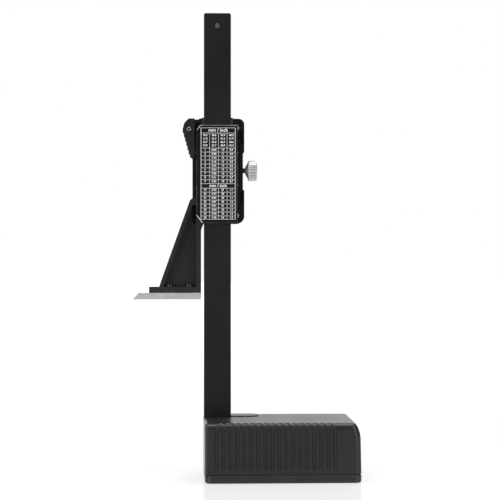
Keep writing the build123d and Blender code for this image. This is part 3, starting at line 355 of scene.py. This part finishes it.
SAME_AS = {
    "column_screws": "sole_screws",
    "gib_screws": "scriber_screws",
    "back_cover_screws": "sole_screws",
    "bracket_screws": "scriber_screws",
    "housing_screws": "sole_screws",
    "lock_plug": "lock_bush",
    "unit_button": "power_button",
}


def dress(node, material):
    """Gives a CAD node its finish."""
    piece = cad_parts[node]
    if not piece.material_slots:
        piece.data.materials.append(material)
    for material_slot in piece.material_slots:
        material_slot.material = material


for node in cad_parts:
    dress(node, FINISHES[SAME_AS.get(node, node)])


# ------------------------------------------------------------------ flat prints
CAPITAL_SHARE = 0.7            # height of a capital letter, as a share of the font's size


def text_outline(text, height, weight):
    """The 2-D vertices and faces of a short text, centred on the origin and thickened."""
    curve = bpy.data.curves.new("lettering", "FONT")
    curve.body = text
    curve.size = height / CAPITAL_SHARE
    curve.align_x = "CENTER"
    curve.align_y = "CENTER"
    curve.resolution_u = 2
    curve.offset = weight
    holder = bpy.data.objects.new("lettering", curve)
    mesh = bpy.data.meshes.new_from_object(holder)
    points = [(v.co.x, v.co.y) for v in mesh.vertices]
    faces = [tuple(p.vertices) for p in mesh.polygons]
    bpy.data.objects.remove(holder)
    bpy.data.curves.remove(curve)
    bpy.data.meshes.remove(mesh)
    return points, faces


class Print:
    """Collects flat shapes on an upright plane and makes one mesh of them."""

    def __init__(self, name, y, facing, material, body, slot, lift=SKIN):
        self.name, self.y, self.facing = name, y + facing * lift, facing
        self.material, self.body, self.slot = material, body, slot
        self.points, self.faces = [], []

    def shape(self, points, faces):
        """Adds faces over points given as X and Z."""
        start = len(self.points)
        self.points += [(x, self.y, z) for x, z in points]
        self.faces += [tuple(start + i for i in face) for face in faces]

    def box(self, low_x, high_x, low_z, high_z):
        """Adds an upright rectangle."""
        corners = [(low_x, low_z), (high_x, low_z), (high_x, high_z), (low_x, high_z)]
        self.shape(corners, [(0, 1, 2, 3)])

    def text(self, words, x, z, height, width=None, weight=0.0):
        """Adds words centred on x and z, squeezed where they are wider than width."""
        points, faces = text_outline(words, height, weight)
        reach = max(abs(p[0]) for p in points) * 2
        squeeze = min(1.0, width / reach) if width else 1.0
        self.shape([(x - self.facing * p[0] * squeeze, z + p[1]) for p in points], faces)

    def make(self):
        """Makes the piece, with every face turned the way that the print faces."""
        mesh = bpy.data.meshes.new(self.name)
        mesh.from_pydata(self.points, [], self.faces)
        work = bmesh.new()
        work.from_mesh(mesh)
        for face in work.faces:
            face.normal_update()
            if face.normal.y * self.facing < 0:
                face.normal_flip()
        work.to_mesh(mesh)
        work.free()
        piece = bpy.data.objects.new(self.name, mesh)
        bpy.context.scene.collection.objects.link(piece)
        mesh.materials.append(self.material)
        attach(piece, self.body)


# ------------------------------------------------------------------ number table on the label
white_ink = printed("white_ink", (0.8, 0.8, 0.8), (0.92, 0.92, 0.92))
grey_ink = printed("grey_ink", (0.45, 0.45, 0.45), (0.57, 0.57, 0.57))
black_ink = printed("black_ink", (0.008, 0.008, 0.008), (0.012, 0.012, 0.012))

label_low, label_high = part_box("thread_table_label")
LABEL_LINE = 0.3 * MM
LABEL_EDGE = 0.45 * MM         # the frame's two upright lines
TITLE_BAND = 3.1 * MM
HEAD_BAND = 8.9 * MM
SECOND_BAND = 2.7 * MM
TOP_ROWS = 9
LOW_ROWS = 8
DIGIT = 1.12 * MM
BOLD = 0.045 * MM
TITLE, SECOND_TITLE = 2.0 * MM, 1.8 * MM
COLUMN_SHARES = (0.0, 0.255, 0.51, 0.755, 1.0)   # the grid's uprights, across the label
CELL_FILL = 0.8                # the part of a cell's width that its entry may take
HEAD_LINES, HEAD_FIRST, HEAD_PITCHES = 4, 0.7, 4.4   # lines of the head and their spacing


def write_cell(ink, entry, left, right, z):
    """Writes one entry of the table between two uprights."""
    ink.text(entry, (left + right) / 2, z, DIGIT, (right - left) * CELL_FILL, BOLD)


def table_rows(ink, columns, top, pitch, rows, first):
    """Writes rows of plain numbers: a size in mm and the same in inches, twice over."""
    for row in range(rows):
        z = top - (row + 0.5) * pitch
        size = first + row
        entries = [f"{size}", f"{size / INCH:.2f}", f"{size + rows}", f"{(size + rows) / INCH:.1f}"]
        for entry, (left, right) in zip(entries, zip(columns, columns[1:])):
            write_cell(ink, entry, left, right, z)


def label_print():
    """White grid and numbers over the black label."""
    width = label_high.x - label_low.x
    columns = [label_low.x + width * share for share in COLUMN_SHARES]
    ink = Print("label_numbers", label_low.y, REAR, white_ink, "slider", "label_print")
    rules = Print("label_rules", label_low.y, REAR, grey_ink, "slider", "label_print")
    uprights = Print(
        "label_uprights", label_low.y, REAR, grey_ink, "slider", "label_print", 2 * SKIN
    )
    head_top = label_high.z - TITLE_BAND
    rows_top = head_top - HEAD_BAND
    row_pitch = (rows_top - label_low.z - SECOND_BAND) / (TOP_ROWS + LOW_ROWS)
    second_top = rows_top - TOP_ROWS * row_pitch
    low_top = second_top - SECOND_BAND
    lines = [label_high.z, head_top, rows_top, second_top, low_top, label_low.z + LABEL_LINE]
    lines += [rows_top - row * row_pitch for row in range(1, TOP_ROWS)]
    lines += [low_top - row * row_pitch for row in range(1, LOW_ROWS)]
    for z in lines:
        rules.box(label_low.x, label_high.x, z - LABEL_LINE, z)
    for x in columns[1:-1]:
        for top, bottom in ((head_top, second_top), (low_top, label_low.z)):
            uprights.box(x - LABEL_LINE / 2, x + LABEL_LINE / 2, bottom, top)
    for x in (label_low.x, label_high.x - LABEL_EDGE):
        uprights.box(x, x + LABEL_EDGE, label_low.z, label_high.z)
    middle = (label_low.x + label_high.x) / 2
    ink.text("mm / inch", middle, head_top + TITLE_BAND / 2, TITLE, None, BOLD)
    ink.text("mm / inch", middle, low_top + SECOND_BAND / 2, SECOND_TITLE, None, BOLD)
    for number, (left, right) in enumerate(zip(columns, columns[1:]), 1):
        for line in range(HEAD_LINES):
            z = head_top - (line + HEAD_FIRST) * HEAD_BAND / HEAD_PITCHES
            entry = f"{number * 10 + line}.{(number * 3 + line * 7) % 10}"
            write_cell(ink, entry, left, right, z)
    table_rows(ink, columns, rows_top, row_pitch, TOP_ROWS, 1)
    table_rows(ink, columns, low_top, row_pitch, LOW_ROWS, 1 + 2 * TOP_ROWS)
    rules.make()
    uprights.make()
    ink.make()


label_print()

# ------------------------------------------------------------------ lands on the base's rim
BASE_TOP = 34.5 * MM
RIM_RADIUS, LAND_RADIUS = 3.8 * MM, 2.4 * MM
FLUTE_PITCH, FLUTE_COUNT, FIRST_FLUTE = 4.0 * MM, 18, 6.5 * MM
LAND_HALF = 1.0 * MM           # half the width of a land
LAND_STEPS = 6
LAND_SHAPE = ((-1.0, 0.0), (-0.85, 0.6), (-0.5, 0.95), (0.5, 0.95), (0.85, 0.6), (1.0, 0.0))
CREST_SUNK = 0.02 * MM         # the crest stays this far inside the base's faces
END_SUNK = 0.03 * MM
END_PAST = 0.1 * MM            # a land ends this far past the rim's rounding
FOOT_SUNK = 0.06 * MM          # a land's foot lies this deep under the rim
CREST_MIDDLE = (RIM_RADIUS + LAND_RADIUS) / 2   # halfway along a straight part of the crest


def quarter_round(side, top, radius, sunk, steps):
    """Points in Y and Z round a corner between a side and a top face, from side to top."""
    points = []
    for step in range(steps + 1):
        angle = math.radians(90) * step / steps
        reach = radius - sunk
        points.append((
            side - radius + reach * math.cos(angle), top - radius + reach * math.sin(angle)
        ))
    return points


def land_profiles(side, top):
    """Y and Z along a land's crest, and along the rim that it lies on, from side to top."""
    past = RIM_RADIUS + END_PAST
    crest = [(side - END_SUNK, top - past), (side - CREST_SUNK, top - CREST_MIDDLE)]
    crest += quarter_round(side, top, LAND_RADIUS, CREST_SUNK, LAND_STEPS)
    crest += [(side - CREST_MIDDLE, top - CREST_SUNK), (side - past, top - END_SUNK)]
    return crest, quarter_round(side, top, RIM_RADIUS, FOOT_SUNK, len(crest) - 1)


def rim_lands():
    """The ribs between the flutes, which keep a tighter corner than the rim they run over."""
    low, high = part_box("base_cover")
    crest, rim = land_profiles(high.y, BASE_TOP)
    points, faces = [], []
    across = len(LAND_SHAPE)
    for number in range(FLUTE_COUNT - 1):
        middle = low.x + FIRST_FLUTE + (number + 0.5) * FLUTE_PITCH
        for facing in (-1, 1):
            start = len(points)
            for (crest_y, crest_z), (rim_y, rim_z) in zip(crest, rim):
                for place, rise in LAND_SHAPE:
                    points.append((
                        middle + place * LAND_HALF,
                        facing * (rim_y + (crest_y - rim_y) * rise),
                        rim_z + (crest_z - rim_z) * rise,
                    ))
            for row in range(len(crest) - 1):
                for column in range(across - 1):
                    corner = start + row * across + column
                    ring = (corner, corner + 1, corner + across + 1, corner + across)
                    faces.append(ring if facing < 0 else ring[::-1])
    mesh = bpy.data.meshes.new("rim_lands")
    mesh.from_pydata(points, [], faces)
    for face in mesh.polygons:
        face.use_smooth = True
    piece = bpy.data.objects.new("rim_lands", mesh)
    bpy.context.scene.collection.objects.link(piece)
    mesh.materials.append(FINISHES["base_cover"])
    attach(piece, "base")


rim_lands()

# ------------------------------------------------------------------ scale on the column's front
film_low, film_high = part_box("scale_film")
slider_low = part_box("carriage")[0]
scriber_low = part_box("scriber")[0]
SCALE_RANGE = 150
SCALE_ZERO = 0.6 * MM          # above the slider's lower edge when the scriber reads zero
SCALE_MARGIN = 0.3 * MM
SCALE_LINE_HALF = 0.07 * MM
LONG_LINE, MIDDLE_LINE, SHORT_LINE = 4.6 * MM, 3.4 * MM, 2.4 * MM
SCALE_DIGIT, SCALE_DIGIT_ROOM, SCALE_DIGIT_INSET = 2.0 * MM, 4.6 * MM, 2.9 * MM


def scale_print():
    """Millimetre lines with a number every ten, read at the slider's lower edge."""
    ink = Print("scale_lines", film_high.y, FRONT, black_ink, "base", "scale_print")
    zero = slider_low.z - scriber_low.z + SCALE_ZERO
    start = film_low.x + SCALE_MARGIN
    for step in range(SCALE_RANGE + 1):
        z = zero + step * MM
        long, middle = step % 10 == 0, step % 5 == 0
        length = LONG_LINE if long else MIDDLE_LINE if middle else SHORT_LINE
        ink.box(start, start + length, z - SCALE_LINE_HALF, z + SCALE_LINE_HALF)
        if long:
            ink.text(
                str(step), film_high.x - SCALE_DIGIT_INSET, z, SCALE_DIGIT, SCALE_DIGIT_ROOM
            )
    ink.make()


scale_print()

# ------------------------------------------------------------------ display
SEGMENTS = {
    "0": "abcdef", "1": "bc", "2": "abged", "3": "abgcd", "4": "fgbc",
    "5": "afgcd", "6": "afgedc", "7": "abc", "8": "abcdefg", "9": "abcdfg",
}
SEGMENT_GAP, SEGMENT_TIP = 0.12, 0.6   # as shares of a bar's thickness
LCD_WIDTH, LCD_HEIGHT, LCD_PITCH, LCD_BAR = 2.7 * MM, 6.2 * MM, 3.5 * MM, 0.55 * MM
LCD_SHIFT = 1.2 * MM           # the reading lies this far left of the glass's middle
POINT_RIGHT, POINT_LEFT, POINT_HALF = 0.05 * MM, 0.55 * MM, 0.3 * MM
UNIT_INSET, UNIT_RISE, UNIT_HEIGHT = 4.2 * MM, 0.7 * MM, 1.3 * MM
LEGEND_DROP, LEGEND_HEIGHT, LEGEND_ROOM = 1.5 * MM, 1.15 * MM, 6.4 * MM


def seven_segment(ink, digit, x, z, width, height, bar):
    """One seven-segment digit seen from the front, with its left top corner at x, z."""
    gap = bar * SEGMENT_GAP
    tip = bar * SEGMENT_TIP
    half = height / 2

    def across(top):
        """A level bar whose middle line is at top."""
        return [
            (tip, top), (bar, top - bar / 2), (width - bar, top - bar / 2),
            (width - tip, top), (width - bar, top + bar / 2), (bar, top + bar / 2),
        ]

    def down(left, top):
        """An upright bar whose middle line is at left and which hangs from top."""
        shoulder, waist = top - bar / 2 - gap, top - half + bar / 2 + gap
        return [
            (left, top - gap), (left + bar / 2, shoulder), (left + bar / 2, waist),
            (left, top - half + gap), (left - bar / 2, waist), (left - bar / 2, shoulder),
        ]

    shapes = {
        "a": across(0), "g": across(-half), "d": across(-height),
        "f": down(bar / 2, 0), "b": down(width - bar / 2, 0),
        "e": down(bar / 2, -half), "c": down(width - bar / 2, -half),
    }
    for key in SEGMENTS[digit]:
        ink.shape([(x - px, z + pz) for px, pz in shapes[key]], [tuple(range(6))])


def display_print():
    """The reading: the scriber's height above the surface plate, in millimetres."""
    low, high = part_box("lcd_glass")
    ink = Print("lcd_digits", high.y, FRONT, black_ink, "slider", "lcd_grey")
    reading = f"{scriber_low.z / MM:.2f}"
    x = (low.x + high.x) / 2 + (len(reading) - 1) * LCD_PITCH / 2 + LCD_SHIFT
    z = (low.z + high.z) / 2 + LCD_HEIGHT / 2
    foot = z - LCD_HEIGHT
    for mark in reading:
        if mark == ".":
            ink.box(x - POINT_RIGHT, x + POINT_LEFT, foot - POINT_HALF, foot + POINT_HALF)
            continue
        seven_segment(ink, mark, x, z, LCD_WIDTH, LCD_HEIGHT, LCD_BAR)
        x -= LCD_PITCH
    ink.text("mm", low.x + UNIT_INSET, foot + UNIT_RISE, UNIT_HEIGHT)
    ink.make()


display_print()


def legend_print():
    """Plain words under the buttons."""
    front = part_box("display_housing")[1].y
    ink = Print("legends", front, FRONT, white_ink, "slider", "housing_black")
    legends = (("zero_button", "ZERO"), ("power_button", "ON/OFF"), ("unit_button", "mm/in"))
    for node, words in legends:
        low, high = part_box(node)
        middle = (low.x + high.x) / 2
        ink.text(words, middle, low.z - LEGEND_DROP, LEGEND_HEIGHT, LEGEND_ROOM)
    ink.make()


legend_print()

# ------------------------------------------------------------------ stage, light and camera
MIDDLE = (0, 0, 0.13)          # the place that the lamps point at
FLOOR_REACH = 6.0
FLOOR_SHADE = 0.25             # the part of the floor's white that takes shadows
FLOOR_GLOW_NEAR, FLOOR_GLOW_FAR = 0.8, 1.6
FLOOR_NEAR, FLOOR_FAR = 0.35, 2.0
FLOOR_MIRROR, FLOOR_MIRROR_ROUGHNESS = 0.27, 0.12
WORLD_BEHIND, WORLD_ABOVE, WORLD_DIM = 0.75, 0.4, 0.06
SENSOR, LENS = 36.0, 122.2     # millimetres
CLIP = (0.05, 20.0)
CAMERA_PLACE = (-61.6 * MM, -998.3 * MM, 133.6 * MM)
CAMERA_TURN = -2.5             # degrees about Z


def seen_directly(tree, *kinds):
    """1 on rays of the given kinds, such as Is Camera Ray, and 0 on the rest."""
    rays = tree.nodes.new("ShaderNodeLightPath")
    total = rays.outputs[kinds[0]]
    for kind in kinds[1:]:
        either = tree.nodes.new("ShaderNodeMath")
        either.operation = "MAXIMUM"
        tree.links.new(total, either.inputs[0])
        tree.links.new(rays.outputs[kind], either.inputs[1])
        total = either.outputs["Value"]
    return total


def white_floor():
    """A wide white floor that keeps the object's shadow and a faint mirror of it."""
    near, far = -FLOOR_REACH, FLOOR_REACH
    mesh = bpy.data.meshes.new("floor")
    mesh.from_pydata(
        [(near, near, 0), (far, near, 0), (far, far, 0), (near, far, 0)], [], [(0, 1, 2, 3)]
    )
    floor = bpy.data.objects.new("floor", mesh)
    bpy.context.scene.collection.objects.link(floor)
    material, tree, shader = new_material("floor_white")
    shader.inputs["Base Color"].default_value = (FLOOR_SHADE, FLOOR_SHADE, FLOOR_SHADE, 1)
    shader.inputs["Roughness"].default_value = 1.0
    shader.inputs["Specular IOR Level"].default_value = 0.0
    shader.inputs["Emission Color"].default_value = WHITE
    away = tree.nodes.new("ShaderNodeVectorMath")
    away.operation = "LENGTH"
    tree.links.new(object_coordinates(tree), away.inputs[0])
    glow = spread(
        tree, away.outputs["Value"], FLOOR_GLOW_NEAR, FLOOR_GLOW_FAR, FLOOR_NEAR, FLOOR_FAR
    )
    seen = seen_directly(tree, "Is Camera Ray", "Is Glossy Ray")
    tree.links.new(product(tree, seen, glow), shader.inputs["Emission Strength"])
    gloss = tree.nodes.new("ShaderNodeBsdfGlossy")
    gloss.inputs["Roughness"].default_value = FLOOR_MIRROR_ROUGHNESS
    blend = tree.nodes.new("ShaderNodeMixShader")
    blend.inputs["Fac"].default_value = FLOOR_MIRROR
    tree.links.new(shader.outputs["BSDF"], blend.inputs[1])
    tree.links.new(gloss.outputs["BSDF"], blend.inputs[2])
    tree.links.new(blend.outputs["Shader"], tree.nodes["Material Output"].inputs["Surface"])
    mesh.materials.append(material)


def studio_world():
    """White behind the object, dim in front and at the sides, and plain white where seen."""
    world = bpy.data.worlds.new("studio")
    bpy.context.scene.world = world
    world.use_nodes = True
    tree = world.node_tree
    coordinates = tree.nodes.new("ShaderNodeTexCoord")
    split = tree.nodes.new("ShaderNodeSeparateXYZ")
    tree.links.new(coordinates.outputs["Generated"], split.inputs["Vector"])
    behind = spread(tree, split.outputs["Y"], 0.0, WORLD_BEHIND, start=0.55, end=0.85)
    above = spread(tree, split.outputs["Z"], WORLD_DIM, WORLD_ABOVE, start=0.0, end=0.9)
    brightest = tree.nodes.new("ShaderNodeMath")
    brightest.operation = "MAXIMUM"
    tree.links.new(behind, brightest.inputs[0])
    tree.links.new(above, brightest.inputs[1])
    level = tree.nodes.new("ShaderNodeMath")
    level.operation = "MAXIMUM"
    tree.links.new(brightest.outputs["Value"], level.inputs[0])
    seen = seen_directly(tree, "Is Camera Ray", "Is Transmission Ray")
    tree.links.new(seen, level.inputs[1])
    background = tree.nodes["Background"]
    background.inputs["Color"].default_value = WHITE
    tree.links.new(level.outputs["Value"], background.inputs["Strength"])


def softbox(name, place, aim, size, power):
    """A rectangular area lamp at place that points at aim."""
    lamp = bpy.data.lights.new(name, "AREA")
    lamp.shape = "RECTANGLE"
    lamp.size, lamp.size_y = size
    lamp.energy = power
    holder = bpy.data.objects.new(name, lamp)
    holder.location = place
    holder.rotation_euler = (Vector(aim) - Vector(place)).to_track_quat("-Z", "Y").to_euler()
    bpy.context.scene.collection.objects.link(holder)


def camera():
    """The camera, at the height of the column's middle and turned a little to the right."""
    data = bpy.data.cameras.new("camera")
    data.sensor_width = SENSOR
    data.lens = LENS
    data.clip_start, data.clip_end = CLIP
    holder = bpy.data.objects.new("camera", data)
    holder.location = CAMERA_PLACE
    holder.rotation_euler = (math.radians(90), 0, math.radians(CAMERA_TURN))
    bpy.context.scene.collection.objects.link(holder)
    bpy.context.scene.camera = holder


white_floor()
studio_world()
softbox("front_left", (-0.75, -0.7, 0.55), MIDDLE, (0.6, 1.2), 9.0)
softbox("front_right", (0.75, -0.7, 0.45), MIDDLE, (0.7, 1.3), 7.0)
softbox("overhead", (0.0, 0.0, 1.1), MIDDLE, (1.0, 0.7), 10.0)
softbox("display_side", (0.5, 1.1, 0.8), MIDDLE, (0.7, 0.7), 6.0)
camera()
bpy.context.scene.view_settings.view_transform = "Standard"
